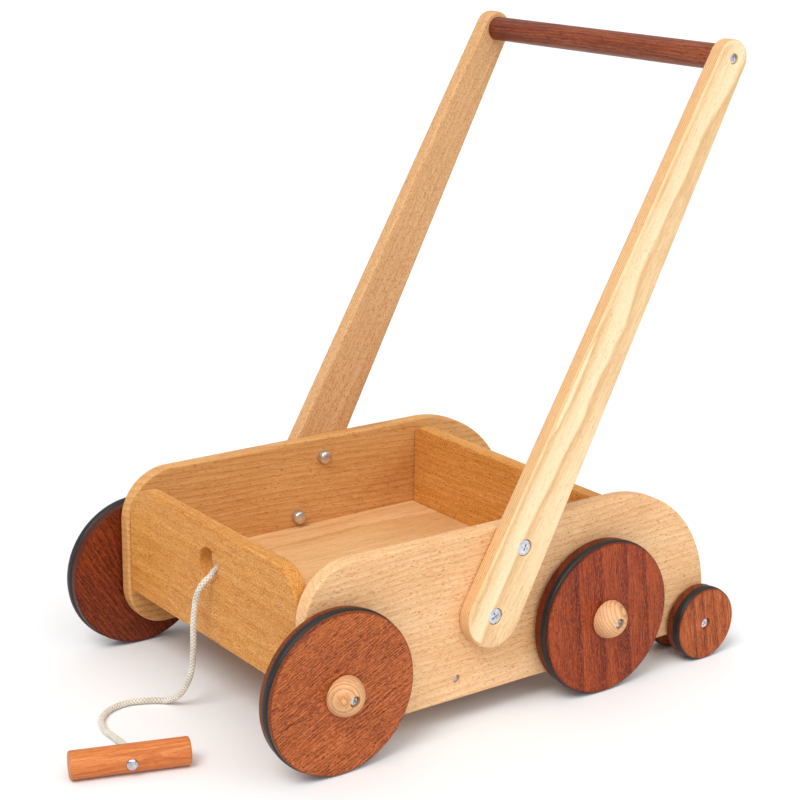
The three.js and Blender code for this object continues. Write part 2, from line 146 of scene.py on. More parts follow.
def turned_mesh(name, profile, sides):
    """A lathe-turned solid: (radius, height) corners turned about Z."""
    work = bmesh.new()
    rings = []
    for radius, height in profile:
        if radius == 0:
            rings.append([work.verts.new((0, 0, height * MM))])
            continue
        ring = []
        for i in range(sides):
            angle = 2 * math.pi * i / sides
            spot = (radius * math.cos(angle) * MM, radius * math.sin(angle) * MM, height * MM)
            ring.append(work.verts.new(spot))
        rings.append(ring)
    closed = profile[0][0] != 0
    spans = list(zip(rings, rings[1:] + rings[:1]))
    for lower, upper in spans if closed else spans[:-1]:
        for i in range(sides):
            j = (i + 1) % sides
            corners = [lower[i % len(lower)], lower[j % len(lower)]]
            corners += [upper[j % len(upper)], upper[i % len(upper)]]
            corners = list(dict.fromkeys(corners))
            if len(corners) > 2:
                work.faces.new(corners)
    mesh = bpy.data.meshes.new(name)
    work.to_mesh(mesh)
    work.free()
    smooth_but_crisp(mesh)
    return mesh


def turned(name, profile, sides, place):
    """A lathe-turned piece, set in its place."""
    piece = add_piece(name, turned_mesh(name, profile, sides))
    piece.data.transform(place)
    return piece


def along_y(x, y, z, side=LEFT):
    """Stands a turned piece with its height pointing out of that side of the walker."""
    turn = Matrix.Rotation(math.radians(-90 * side), 4, "X")
    return Matrix.Translation((x * MM, side * y * MM, z * MM)) @ turn


def drilled(piece, *drills):
    """Cuts turned shapes out of a piece and shades it again."""
    for drill in drills:
        bite = piece.modifiers.new("drill", "BOOLEAN")
        bite.operation = "DIFFERENCE"
        bite.solver = "EXACT"
        bite.object = drill
    bpy.context.view_layer.update()
    settled = piece.evaluated_get(bpy.context.evaluated_depsgraph_get())
    mesh = bpy.data.meshes.new_from_object(settled)
    piece.modifiers.clear()
    piece.data = mesh
    smooth_but_crisp(mesh)
    for drill in drills:
        bpy.data.objects.remove(drill)


def drill_in_y(radius, x, z, y0, y1, side, lip=0.5, sink=None):
    """A drill along Y that also eases the hole's mouth at y1; sink is a wider step (radius, y)."""
    profile = [(0, y0), (radius, y0)]
    if sink:
        wide, step = sink
        profile += [(radius, step), (wide, step), (wide, y1 - lip)]
        profile += [(wide + 0.3 * lip, y1 - 0.35 * lip), (wide + lip, y1)]
        profile += [(wide + lip, y1 + 2), (0, y1 + 2)]
    else:
        profile += [(radius, y1 - lip), (radius + 0.3 * lip, y1 - 0.35 * lip)]
        profile += [(radius + lip, y1), (radius + lip, y1 + 2), (0, y1 + 2)]
    return turned("drill", profile, 48, along_y(x, 0, z, side))


def linear(red, green, blue):
    """A colour as the eye sees it, 0 to 255, in the shader's own scale."""
    def one(value):
        value /= 255
        return value / 12.92 if value <= 0.04045 else ((value + 0.055) / 1.055) ** 2.4
    return (one(red), one(green), one(blue), 1)


class Board:
    """Strings shader nodes together for one material."""

    def __init__(self, name):
        self.material = bpy.data.materials.new(name)
        self.material.use_nodes = True
        self.tree = self.material.node_tree
        self.tree.nodes.clear()
        self.shader = self.tree.nodes.new("ShaderNodeBsdfPrincipled")
        output = self.tree.nodes.new("ShaderNodeOutputMaterial")
        self.link(self.shader.outputs["BSDF"], output.inputs["Surface"])
        self.place = self.tree.nodes.new("ShaderNodeTexCoord").outputs["Object"]

    def link(self, source, target):
        self.tree.links.new(source, target)

    def node(self, kind, **values):
        made = self.tree.nodes.new("ShaderNode" + kind)
        for key, value in values.items():
            setattr(made, key, value)
        return made

    def mapped(self, source, turn=(0, 0, 0), stretch=(1, 1, 1), move=(0, 0, 0)):
        node = self.node("Mapping")
        self.link(source, node.inputs["Vector"])
        node.inputs["Location"].default_value = move
        node.inputs["Rotation"].default_value = [math.radians(a) for a in turn]
        node.inputs["Scale"].default_value = stretch
        return node.outputs["Vector"]

    def noise(self, source, scale, detail=2.0, rough=0.5, warp=0.0):
        node = self.node("TexNoise")
        self.link(source, node.inputs["Vector"])
        node.inputs["Scale"].default_value = scale
        node.inputs["Detail"].default_value = detail
        node.inputs["Roughness"].default_value = rough
        node.inputs["Distortion"].default_value = warp
        return node.outputs["Fac"]

    def ramp(self, source, *stops):
        """Values or colours by place on a scale from 0 to 1."""
        node = self.node("ValToRGB")
        self.link(source, node.inputs["Fac"])
        band = node.color_ramp
        while len(band.elements) < len(stops):
            band.elements.new(0.5)
        for element, (at, value) in zip(band.elements, stops):
            element.position = at
            element.color = value if isinstance(value, tuple) else (value, value, value, 1)
        return node.outputs["Color"]

    def sum(self, first, second, operation="ADD"):
        node = self.node("Math", operation=operation)
        for socket, value in zip(node.inputs, (first, second)):
            if isinstance(value, (int, float)):
                socket.default_value = value
            else:
                self.link(value, socket)
        return node.outputs["Value"]

    def blend(self, factor, first, second, mode="MIX"):
        node = self.node("Mix", data_type="RGBA", blend_type=mode)
        for socket, value in zip((node.inputs[0], node.inputs[6], node.inputs[7]),
                                 (factor, first, second)):
            if isinstance(value, (int, float, tuple)):
                socket.default_value = value
            else:
                self.link(value, socket)
        return node.outputs[2]

    def bump(self, height, strength, depth):
        node = self.node("Bump")
        node.inputs["Strength"].default_value = strength
        node.inputs["Distance"].default_value = depth * MM
        self.link(height, node.inputs["Height"])
        self.link(node.outputs["Normal"], self.shader.inputs["Normal"])


def timber(name, tones, turn=(0, 0, 0), seed=0.0, heart=(40.0, 70.0), ring=5.0, waver=1.0,
           rings=0.16, streaks=0.32, fibres=0.5, clouds=0.3, fleck=0.5, fleck_size=(0.3, 2.2),
           glinting_fleck=0.0, gloss=0.48, sharpness=1.0, rim=None, painted_edge_shade=None):
    """Solid wood, its grain along X once turned. tones are pale, middle, dark and fleck.

    heart is how far off the tree's middle lies and ring the width of a year's growth, in mm.
    rings, streaks and fibres say how strongly each kind of line shows, clouds how uneven the
    tone is over a hand's width; fleck, how many dashes.
    sharpness is how far apart the pale and dark lines stand.
    rim is (x, z, radius) of a turned edge drawn darker, partly for its darker end grain and partly as
    painted shade. The (middle, half, tint) argument after it is painted shade for a board standing
    across Y, whose narrow edges are that much deeper in tone.
    """
    pale, middle, dark, mark = tones
    b = Board(name)
    grain = b.mapped(b.place, turn=turn, stretch=(1000, 1000, 1000), move=(seed * 97, 0, 0))
    drift = b.node("TexNoise")
    b.link(b.mapped(grain, stretch=(0.35, 1, 1), move=(seed * 13, 3, 5)), drift.inputs["Vector"])
    drift.inputs["Scale"].default_value = 0.022
    drift.inputs["Detail"].default_value = 3
    bent = b.node("VectorMath", operation="MULTIPLY_ADD")
    b.link(drift.outputs["Color"], bent.inputs[0])
    bent.inputs[1].default_value = (0, 9 * waver, 9 * waver)
    b.link(grain, bent.inputs[2])
    bent = bent.outputs["Vector"]

    across = b.mapped(bent, stretch=(0.02, 1, 1), move=(0, heart[0], heart[1]))
    far = b.node("VectorMath", operation="LENGTH")
    b.link(across, far.inputs[0])
    years = b.sum(far.outputs["Value"], 1 / ring, "MULTIPLY")
    growth = b.ramp(b.sum(years, 1, "FRACT"), (0.0, 0.1), (0.55, 0.45), (0.88, 1.0), (1.0, 0.1))
    fibre = b.noise(b.mapped(bent, stretch=(0.06, 1.3, 1.3)), 1.0, 3.0, 0.62)
    thread = b.noise(b.mapped(bent, stretch=(0.14, 3.4, 3.4), move=(7, 1, 2)), 1.0, 2.0, 0.6)
    streak = b.noise(b.mapped(bent, stretch=(0.012, 0.33, 0.33), move=(4, 8, seed)), 1.0, 3.0, 0.6)
    cloud = b.noise(b.mapped(bent, stretch=(0.008, 0.03, 0.03), move=(2, seed, 9)), 1.0, 2.0, 0.5)

    threads = 0.3
    shade = 0.5 * (1 - rings - streaks - fibres - threads - clouds)
    for line, share in ((growth, rings), (streak, streaks), (fibre, fibres), (thread, threads),
                        (cloud, clouds)):
        shade = b.sum(b.sum(line, share, "MULTIPLY"), shade)
    colour = b.ramp(shade, (0.5 - 0.2 / sharpness, pale), (0.5, middle),
                    (0.5 + 0.22 / sharpness, dark))

    long, wide = fleck_size
    dashes = b.noise(b.mapped(bent, stretch=(long, wide, wide), move=(11, seed, 3)), 1.0, 1.0, 0.4)
    top = 0.74 - 0.16 * fleck
    marks = b.ramp(dashes, (top, 0.0), (top + 0.06, 1.0))
    colour = b.blend(b.sum(marks, 0.7, "MULTIPLY"), colour, mark)
    # Pale dashes: pore lines painted paler for the light they reflect, a painted highlight.
    if glinting_fleck:
        light = b.noise(b.mapped(bent, stretch=(long, wide, wide), move=(1, 15, seed)), 1.0, 1.0, 0.4)
        lights = b.ramp(light, (top - 0.02, 0.0), (top + 0.06, 1.0))
        colour = b.blend(b.sum(lights, glinting_fleck, "MULTIPLY"), colour, pale)
    # The turned rim is drawn darker: partly its darker end grain, partly painted shade.
    if rim:
        x, z, radius = rim
        off = b.node("VectorMath", operation="LENGTH")
        b.link(b.mapped(b.place, stretch=(1, 0, 1), move=(-x * MM, 0, -z * MM)), off.inputs[0])
        edge = b.node("MapRange")
        b.link(off.outputs["Value"], edge.inputs["Value"])
        edge.inputs["From Min"].default_value = (radius - 1.3) * MM
        edge.inputs["From Max"].default_value = (radius - 0.3) * MM
        rim_end_grain_and_shade = b.blend(b.sum(edge.outputs["Result"], 0.8, "MULTIPLY"), (1, 1, 1, 1),
                        (0.34, 0.27, 0.24, 1))
        colour = b.blend(1.0, colour, rim_end_grain_and_shade, "MULTIPLY")
    # Painted shade: a board's narrow edges drawn deeper in tone than its broad faces.
    if painted_edge_shade:
        middle_y, half, tint = painted_edge_shade
        split = b.node("SeparateXYZ")
        b.link(b.place, split.inputs[0])
        out = b.sum(b.sum(split.outputs["Y"], 0, "ABSOLUTE"), middle_y * MM, "SUBTRACT")
        face = b.node("MapRange")
        b.link(b.sum(out, 0, "ABSOLUTE"), face.inputs["Value"])
        face.inputs["From Min"].default_value = (half - 1.6) * MM
        face.inputs["From Max"].default_value = (half - 0.2) * MM
        shift = b.blend(face.outputs["Result"], tint, (1, 1, 1, 1))
        colour = b.blend(1.0, colour, shift, "MULTIPLY")
    b.link(colour, b.shader.inputs["Base Color"])

    rough = b.ramp(fibre, (0.25, gloss - 0.06), (0.75, gloss + 0.12))
    b.link(rough, b.shader.inputs["Roughness"])
    height = b.sum(b.sum(fibre, 0.6, "MULTIPLY"), b.sum(marks, -0.7, "MULTIPLY"))
    b.bump(height, 0.3, 0.1)
    b.shader.inputs["Specular IOR Level"].default_value = 0.22
    return b.material


def dress(piece, material, body, slot, *stands_for):
    """Gives a finished piece its material and its body, and hides the CAD parts it stands for."""
    piece.data.materials.clear()
    piece.data.materials.append(material)
    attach(piece, body)
    if stands_for:
        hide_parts(*stands_for)


PANEL_TONES = (linear(242, 206, 162), linear(230, 184, 134), linear(208, 152, 98),
               linear(196, 114, 56))
# The far panel is drawn darker: partly its own deeper tone, partly painted shade.
FAR_PANEL_TONES_WITH_SHADE = (linear(222, 172, 114), linear(206, 150, 88), linear(178, 118, 62),
                   linear(150, 84, 40))
panel_wood = {
    LEFT: timber("panel_beech_left", PANEL_TONES, turn=(0, -2, 0), seed=1.3,
                 heart=(55, 160), ring=4.2, rings=0.13, streaks=0.22, fleck=0.8,
                 fleck_size=(0.34, 1.3)),
    RIGHT: timber("panel_beech_right", FAR_PANEL_TONES_WITH_SHADE, turn=(0, 2.5, 0), seed=6.1,
                  heart=(70, 210), ring=5.0, fleck=0.62, fleck_size=(0.3, 1.5)),
}
panel_outline = (
    arc((PANEL_REAR_X + HEEL_R, PANEL_BOTTOM_Z + HEEL_R), HEEL_R, 180, 270, 8)
    + arc((PANEL_FRONT_X - FRONT_BOTTOM_R, PANEL_BOTTOM_Z + FRONT_BOTTOM_R), FRONT_BOTTOM_R,
          -90, 0, 24)
    + arc((PANEL_FRONT_X - FRONT_TOP_R, PANEL_TOP_Z - FRONT_TOP_R), FRONT_TOP_R, 0, 90, 28)
    + arc((PANEL_REAR_X + BACK_R, PANEL_TOP_Z - BACK_R), BACK_R, 90, 180, 48)
)
for name, side in SIDES.items():
    low, high = sorted((side * PANEL_IN_Y, side * PANEL_OUT_Y))
    panel = eased_board(f"panel_{name}", panel_outline, "xz", low, high, PANEL_EASE)
    bolt_spots = [(x, AXLE_Z) for x in AXLE_X.values()]
    holes = [drill_in_y(BOLT_BORE_R, *spot, DRILL_FROM_Y, PANEL_OUT_Y, side) for spot in bolt_spots]
    holes.append(drill_in_y(SMALL_BOLT_BORE_R, *SMALL_AXLE, DRILL_FROM_Y, PANEL_OUT_Y, side))
    holes.append(drill_in_y(SCREW_BORE_R, *RAIL_SCREW_AT, DRILL_FROM_Y, PANEL_OUT_Y, side,
                            sink=RAIL_SCREW_SINK))
    for spot in (ARM_FOOT, ARM_UPPER):
        holes.append(drill_in_y(BOLT_BORE_R, *spot, DRILL_FROM_Y, PANEL_OUT_Y, side))
    drilled(panel, *holes)
    flat_normals(panel)
    dress(panel, panel_wood[side], "frame", "beech", f"side_panel_{name}")

# ---------------------------------------------------------------------------
# The load floor and the rail under it: a plain beech board housed in the side
# panels, and a planed batten that ties them, screwed on from each side.
# ---------------------------------------------------------------------------
FLOOR_TONES = (linear(228, 186, 136), linear(212, 162, 108), linear(184, 132, 80),
               linear(148, 90, 48))
BASE_X = (-97.7, 167.3)
BASE_Z = (68.0, 76.0)
BASE_HALF = 119.8
RAIL_X = (38.3, 56.3)
RAIL_Z = (24.9, 48.9)
RAIL_HALF = 119.7


def rectangle(u0, u1, v0, v1):
    """The corners of a plain board."""
    return [(u0, v0), (u1, v0), (u1, v1), (u0, v1)]


base = eased_board("box_floor", rectangle(*BASE_X, -BASE_HALF, BASE_HALF), "xy",
                   *BASE_Z, 0.6)
flat_normals(base)
dress(base, timber("floor_beech", FLOOR_TONES, seed=2.2, heart=(30, 190), ring=6.0, fleck=0.45),
      "frame", "beech", "base_board")
rail = eased_board("under_rail", rectangle(*RAIL_X, *RAIL_Z), "xz",
                   -RAIL_HALF, RAIL_HALF, 1.2)
flat_normals(rail)
dress(rail, timber("rail_beech", FLOOR_TONES, turn=(0, 0, 90), seed=4.4, ring=3.5, fleck=0.5),
      "frame", "beech", "cross_rail")

# ---------------------------------------------------------------------------
# The end boards: two 12 mm beech boards between the panels, their grain across
# the walker. The front one has big round top corners and a bored hole with a
# rounded lip for the pull cord. Both are glued into the panels.
# ---------------------------------------------------------------------------
BOARD_T = 12.0
FRONT_BOARD_X = 179.6
REAR_BOARD_X = -98.0
BOARD_Z = (54.0, 144.0)
BOARD_HALF = 119.7
CORD_HOLE_R = 13.1
CORD_HOLE_Z = 113.0
CORD_HOLE_LIP = 1.6
FRONT_CORNER_R = 29
REAR_CORNER_R = 10
END_EASE = 1.6
END_TONES = (linear(228, 170, 98), linear(212, 146, 68), linear(184, 114, 46),
             linear(138, 66, 26))


def board_outline(corner):
    """An end board's outline, its two top corners rounded."""
    top, side = BOARD_Z[1] - corner, BOARD_HALF - corner
    outline = [(-BOARD_HALF, BOARD_Z[0]), (BOARD_HALF, BOARD_Z[0])]
    outline += arc((side, top), corner, 0, 90, 24)
    outline += arc((-side, top), corner, 90, 180, 24)
    return outline


def cord_hole_drill():
    """A drill along X that leaves both mouths of the hole rounded over."""
    lip = CORD_HOLE_LIP
    back, face = FRONT_BOARD_X - BOARD_T, FRONT_BOARD_X
    quarter = [math.radians(15 * i) for i in range(7)]
    profile = [(0, back - 1), (CORD_HOLE_R + lip, back - 1)]
    profile += [(CORD_HOLE_R + lip - lip * math.sin(a), back + lip - lip * math.cos(a))
                for a in quarter]
    profile += [(CORD_HOLE_R + lip - lip * math.cos(a), face - lip + lip * math.sin(a))
                for a in quarter]
    profile += [(CORD_HOLE_R + lip, face + 1), (0, face + 1)]
    return turned("drill", profile, 72, Matrix.Translation((0, 0, CORD_HOLE_Z * MM))
                  @ Matrix.Rotation(math.radians(90), 4, "Y"))


front_board = eased_board("end_board_front", board_outline(FRONT_CORNER_R), "yz",
                          FRONT_BOARD_X - BOARD_T, FRONT_BOARD_X, END_EASE)
drilled(front_board, cord_hole_drill())
flat_normals(front_board)
dress(front_board, timber("front_board_beech", END_TONES, turn=(0, 0, 90), seed=3.1, waver=1.4,
                          heart=(160, 30), ring=5.0, rings=0.1, streaks=0.22,
                          fibres=0.6, fleck=1.15, fleck_size=(0.6, 2.2)),
      "frame", "beech", "front_board")
rear_board = eased_board("end_board_rear", board_outline(REAR_CORNER_R), "yz",
                         REAR_BOARD_X - BOARD_T, REAR_BOARD_X, END_EASE)
flat_normals(rear_board)
dress(rear_board, timber("rear_board_beech", END_TONES, turn=(0, 0, 90), seed=8.7, waver=1.2,
                         heart=(130, 60), ring=5.0, rings=0.1, streaks=0.24, fibres=0.6,
                         fleck=1.1, fleck_size=(0.6, 2.2)),
      "frame", "beech", "rear_board")

# ---------------------------------------------------------------------------
# The handle arms: 13 mm beech, wide at the foot and tapering to a round head,
# edges well rounded over. Two bolts hold each arm to its panel, their heads
# sunk in counterbores; a smaller hole at the head takes the bar's screw.
# ---------------------------------------------------------------------------
ARM_Y = (132.3, 145.3)
ARM_FOOT_R = 24.5
ARM_HEAD_R = 14.2
ARM_EASE = 2.5
ARM_LIP = 0.4
ARM_SINK = (6.5, ARM_Y[1] - 3.1)
SCREW_SINK = (4.0, ARM_Y[1] - 3.3)
ARM_TONES = {
    LEFT: (linear(248, 224, 184), linear(238, 206, 160), linear(216, 174, 122),
           linear(194, 132, 80)),
    RIGHT: (linear(226, 184, 134), linear(214, 166, 116), linear(190, 138, 88),
            linear(160, 100, 54)),
}
# Painted shade on the near arm's narrow edges, deeper in tone than its broad faces.
ARM_EDGE_SHADE = (0.5 * (ARM_Y[0] + ARM_Y[1]), 0.5 * (ARM_Y[1] - ARM_Y[0]), (0.86, 0.7, 0.56, 1))
ARM_FIGURE = {
    LEFT: dict(rings=0.42, streaks=0.12, fleck=0.5, painted_edge_shade=ARM_EDGE_SHADE),
    RIGHT: dict(rings=0.14, streaks=0.14, fleck=1.05, fleck_size=(0.5, 2.0)),
}
arm_lean = math.degrees(math.atan2(ARM_RUN.y, ARM_RUN.x))
arm_flare = math.degrees(math.asin((ARM_FOOT_R - ARM_HEAD_R) / (ARM_HEAD - ARM_FOOT).length))
arm_outline = (
    arc(ARM_FOOT, ARM_FOOT_R, arm_lean + 90 - arm_flare, arm_lean + 270 + arm_flare, 48)
    + arc(ARM_HEAD, ARM_HEAD_R, arm_lean - 90 + arm_flare, arm_lean + 90 - arm_flare, 40)
)
for name, side in SIDES.items():
    low, high = sorted((side * ARM_Y[0], side * ARM_Y[1]))
    arm = eased_board(f"arm_{name}", arm_outline, "xz", low, high, ARM_EASE)
    depth = (ARM_Y[0] - 2, ARM_Y[1])
    holes = [drill_in_y(BOLT_BORE_R, *spot, *depth, side, ARM_LIP, ARM_SINK)
             for spot in (ARM_FOOT, ARM_UPPER)]
    holes.append(drill_in_y(SCREW_BORE_R, *ARM_HEAD, *depth, side, ARM_LIP, SCREW_SINK))
    drilled(arm, *holes)
    flat_normals(arm)
    wood = timber(f"arm_beech_{name}", ARM_TONES[side], turn=(0, arm_lean, 0), seed=5.0 + side,
                  heart=(90, 45), ring=1.8, waver=0.25, clouds=0.12, **ARM_FIGURE[side])
    dress(arm, wood, "frame", "beech", f"handle_arm_{name}")

# ---------------------------------------------------------------------------
# The handle bar: a turned and oiled sapele dowel between the two arms, let
# 3 mm into each of them and held by a wood screw through each arm.
# ---------------------------------------------------------------------------
BAR_R = 9.75
BAR_REACH = 135.0
BAR_TONES = (linear(156, 84, 50), linear(128, 60, 36), linear(92, 40, 24), linear(50, 20, 12))
bar_profile = [(0, -BAR_REACH), (BAR_R - 1, -BAR_REACH), (BAR_R, 1 - BAR_REACH)]
bar_profile += [(BAR_R, BAR_REACH * i / 6) for i in range(-5, 6)]
bar_profile += [(BAR_R, BAR_REACH - 1), (BAR_R - 1, BAR_REACH), (0, BAR_REACH)]
bar = turned("bar", bar_profile, 64, along_y(ARM_HEAD.x, 0, ARM_HEAD.y))
dress(bar, timber("bar_sapele", BAR_TONES, turn=(0, 0, 90), seed=9.2, ring=2.4, fleck=0.7,
                  heart=(20, 500), fleck_size=(0.2, 2.0), gloss=0.36, sharpness=1.3),
      "frame", "sapele", "handle_bar")

# ---------------------------------------------------------------------------
# The arm bolts and the small screws: zinc-plated steel, pan heads with a cross
# recess pressed into them. The bolts end in domed nuts inside the box.
# ---------------------------------------------------------------------------
ZINC_TINT = (linear(236, 239, 243), linear(212, 216, 224), linear(168, 173, 184))
ARM_BOLT_Y = 144.8
BAR_SCREW_Y = 144.4
RAIL_SCREW_Y = 130.4
NUT_Y = 119.7
ARM_BOLT = dict(radius=6.1, thick=2.2, crown=0.7, recess=1.7, shank=3.0, shank_l=30.0)
BAR_SCREW = dict(radius=3.6, thick=2.0, crown=0.5, recess=1.4, shank=2.0, shank_l=28.0)
RAIL_SCREW = dict(radius=2.8, thick=2.0, crown=0.4, recess=1.2, shank=2.0, shank_l=30.0)


def plated_steel(name, tones, rough, seed):
    """Bright metal with faint turning marks, stains and handling wear."""
    light, middle, dark = tones
    b = Board(name)
    fine = b.mapped(b.place, stretch=(1000, 1000, 1000), move=(seed, seed, seed))
    marks = b.noise(fine, 2.6, 4.0, 0.6)
    stain = b.noise(fine, 0.35, 3.0, 0.55, 0.6)
    tone = b.sum(b.sum(marks, 0.25, "MULTIPLY"), b.sum(stain, 0.75, "MULTIPLY"))
    b.link(b.ramp(tone, (0.3, light), (0.5, middle), (0.72, dark)), b.shader.inputs["Base Color"])
    b.link(b.ramp(stain, (0.3, rough - 0.07), (0.7, rough + 0.12)), b.shader.inputs["Roughness"])
    b.bump(marks, 0.12, 0.03)
    b.shader.inputs["Metallic"].default_value = 1.0
    return b.material


def head_profile(radius, thick, crown):
    """Half section of a screw head: flat underside at -thick, slightly crowned top at 0."""
    edge = 0.5
    profile = [(0, -thick), (radius - 0.2, -thick), (radius, -thick + 0.2)]
    profile += [(radius, -crown - edge)]
    for i in range(1, 5):
        angle = math.radians(22.5 * i)
        profile.append((radius - edge * (1 - math.cos(angle)),
                        -crown - edge + edge * math.sin(angle)))
    rim = radius - edge
    profile += [(rim * (1 - t), -crown * (1 - t) ** 2) for t in (0.25, 0.5, 0.75, 1)]
    return profile


def cross_driver(size, depth):
    """The shape a cross driver leaves: four wings that taper towards its point."""
    work = bmesh.new()
    rings = []
    for reach, half, height in ((size, 0.19 * size, 1.0), (size, 0.19 * size, -0.35 * depth),
                                (0.42 * size, 0.14 * size, -depth)):
        wing = [(reach, -half), (reach, half), (half, half)]
        ring = []
        for quarter in range(4):
            turn = Matrix.Rotation(math.radians(90 * quarter), 3, "Z")
            for u, v in wing:
                ring.append(work.verts.new(turn @ Vector((u, v, height)) * MM))
        rings.append(ring)
    for lower, upper in zip(rings, rings[1:]):
        for i in range(12):
            j = (i + 1) % 12
            work.faces.new([lower[i], lower[j], upper[j], upper[i]])
    work.faces.new(rings[0])
    work.faces.new(rings[-1][::-1])
    bmesh.ops.recalc_face_normals(work, faces=work.faces)
    mesh = bpy.data.meshes.new("cross")
    work.to_mesh(mesh)
    work.free()
    return add_piece("cross", mesh)


def screw_head(name, place, turn, radius, thick, crown, recess, shank, shank_l):
    """A head with its cross recess, and the shank below it."""
    head = add_piece(name, turned_mesh(name, head_profile(radius, thick, crown), 64))
    driver = cross_driver(0.56 * radius, recess)
    drilled(head, driver)
    stem = turned_mesh("stem", [(0, -shank_l), (0.7 * shank, -shank_l), (shank, -shank_l + 1),
                                (shank, -thick - 0.02), (0, -thick - 0.02)], 32)
    work = bmesh.new()
    work.from_mesh(head.data)
    work.from_mesh(stem)
    work.to_mesh(head.data)
    work.free()
    bpy.data.meshes.remove(stem)
    head.data.transform(place @ Matrix.Rotation(math.radians(turn), 4, "Z"))
    return head


def domed_nut(name, place):
    """A barrel nut with a shallow domed head, its flat face at height 0."""
    profile = [(0, -6.5)]
    for i in range(1, 7):
        angle = math.radians(15 * i)
        profile.append((5.2 * math.sin(angle), -5.0 - 1.5 * math.cos(angle)))
    profile += [(5.4, -4.6), (5.4, -0.3), (5.1, 0), (0, 0)]
    return turned(name, profile, 48, place)


zinc_bolt = plated_steel("zinc_arm_bolts", ZINC_TINT, 0.24, 3.0)
zinc_screw = plated_steel("zinc_screws", ZINC_TINT, 0.28, 8.0)
zinc_nut = plated_steel("zinc_nuts", ZINC_TINT, 0.34, 14.0)
for name, side in SIDES.items():
    for level, spot, turn in (("lower", ARM_FOOT, 24), ("upper", ARM_UPPER, 67)):
        bolt = screw_head(f"arm_bolt_head_{name}_{level}",
                          along_y(spot.x, ARM_BOLT_Y, spot.y, side), turn, **ARM_BOLT)
        dress(bolt, zinc_bolt, "frame", "zinc_steel", f"arm_bolt_{name}_{level}")
        nut = domed_nut(f"arm_nut_dome_{name}_{level}", along_y(spot.x, NUT_Y, spot.y, side))
        dress(nut, zinc_nut, "frame", "zinc_steel", f"arm_nut_{name}_{level}")
    screw = screw_head(f"bar_screw_{name}",
                       along_y(ARM_HEAD.x, BAR_SCREW_Y, ARM_HEAD.y, side), 12, **BAR_SCREW)
    dress(screw, zinc_screw, "frame", "zinc_steel", f"handle_bar_screw_{name}")
    screw = screw_head(f"rail_screw_{name}",
                       along_y(RAIL_SCREW_AT[0], RAIL_SCREW_Y, RAIL_SCREW_AT[1], side), 40,
                       **RAIL_SCREW)
    dress(screw, zinc_screw, "frame", "zinc_steel", f"cross_rail_screw_{name}")

# ---------------------------------------------------------------------------
# The big wheels: 120 mm sapele discs with a rubber ring in a groove round the
# rim. Each turns on a bolt under a fixed half-ball hub cap of beech, which has
# the bolt's button head and hex socket sunk in its crown.
# ---------------------------------------------------------------------------
DISC_R = 60.0
DISC_T = 15.0
WHEEL_FACE_Y = 150.6
GROOVE_AT = {"front_left": 4.4, "front_right": 6.8, "rear_left": 6.2, "rear_right": 6.2}
GROOVE_W = 6.8
GROOVE_DEEP = 4.0
DISC_BORE_R = 3.35
DISC_EASE = 0.9
RING_PROUD = 1.0
HUB_R = 15.0
HUB_MOUTH_R = 4.2
HUB_SEAT = 9.8
AXLE_HEAD_Y = 164.0
AXLE_HEAD_R = 4.0
AXLE_HEAD_T = 3.0
AXLE_L = 46.0
AXLE_R = 3.0


def disc_profile(radius, thick, groove, width, depth, bore, ease, sink=None):
    """Half section of a wheel disc with eased rims, a ring groove and a bored middle."""
    profile = [(bore, 0)]
    profile += arc((radius - ease, ease), ease, -90, 0, 5)
    profile += [(radius, groove - 0.3), (radius - 0.3, groove)]
    profile += [(radius - depth, groove), (radius - depth, groove + width)]
    profile += [(radius - 0.3, groove + width), (radius, groove + width + 0.3)]
    last = min(ease, thick - groove - width - 0.4)
    profile += arc((radius - last, thick - last), last, 0, 90, 5)
    profile += [(0.82 * radius, thick), (0.5 * radius, thick)]
    if sink:
        wide, deep = sink
        profile += [(wide + 0.4, thick), (wide, thick - 0.4), (wide, thick - deep)]
        profile += [(bore, thick - deep)]
    else:
        profile += [(bore, thick)]
    return profile


def ring_profile(radius, proud, groove, width, depth):
    """Half section of the rubber ring: flat in its groove, crowned where it rolls."""
    inner = radius - depth + 0.15
    profile = [(inner, groove + 0.15), (radius - 0.5, groove + 0.15)]
    for i in range(11):
        t = -1 + 2 * i / 10
        height = groove + width / 2 + t * (width / 2 - 0.25)
        profile.append((radius - 0.6 + (proud + 0.6) * (1 - t ** 4) ** 0.6, height))
    profile += [(radius - 0.5, groove + width - 0.15), (inner, groove + width - 0.15)]
    return profile


def rubber(name, seed):
    """Black cast rubber: fine pebbling, faint mould marks and a dusty bloom from the floor."""
    b = Board(name)
    fine = b.mapped(b.place, stretch=(1000, 1000, 1000), move=(seed, 0, seed))
    pebble = b.noise(fine, 1.7, 3.0, 0.6)
    scuff = b.noise(b.mapped(fine, stretch=(0.4, 0.9, 0.4)), 0.22, 4.0, 0.65, 0.4)
    tone = b.sum(b.sum(pebble, 0.35, "MULTIPLY"), b.sum(scuff, 0.65, "MULTIPLY"))
    colour = b.ramp(tone, (0.3, linear(13, 12, 12)), (0.55, linear(25, 25, 24)),
                    (0.78, linear(55, 55, 53)))
    b.link(colour, b.shader.inputs["Base Color"])
    b.link(b.ramp(scuff, (0.3, 0.38), (0.7, 0.62)), b.shader.inputs["Roughness"])
    b.bump(pebble, 0.3, 0.08)
    b.shader.inputs["Specular IOR Level"].default_value = 0.45
    return b.material


def button_head(name, radius, thick, place):
    """A polished button head with a hex socket, on its shank."""
    crown = 0.62 * thick
    profile = [(0, -thick), (radius, -thick), (radius, -crown)]
    for i in range(1, 9):
        angle = math.radians(90 * i / 8)
        profile.append((max(radius * math.cos(angle), 0), -crown + crown * math.sin(angle)))
    profile[-1] = (0, 0)
    head = add_piece(name, turned_mesh(name, profile, 64))
    key = add_piece("key", turned_mesh("key", [(0, -1.9), (1.75, -1.6), (1.75, 1), (0, 1)], 6))
    drilled(head, key)
    head.data.transform(place)
    return head


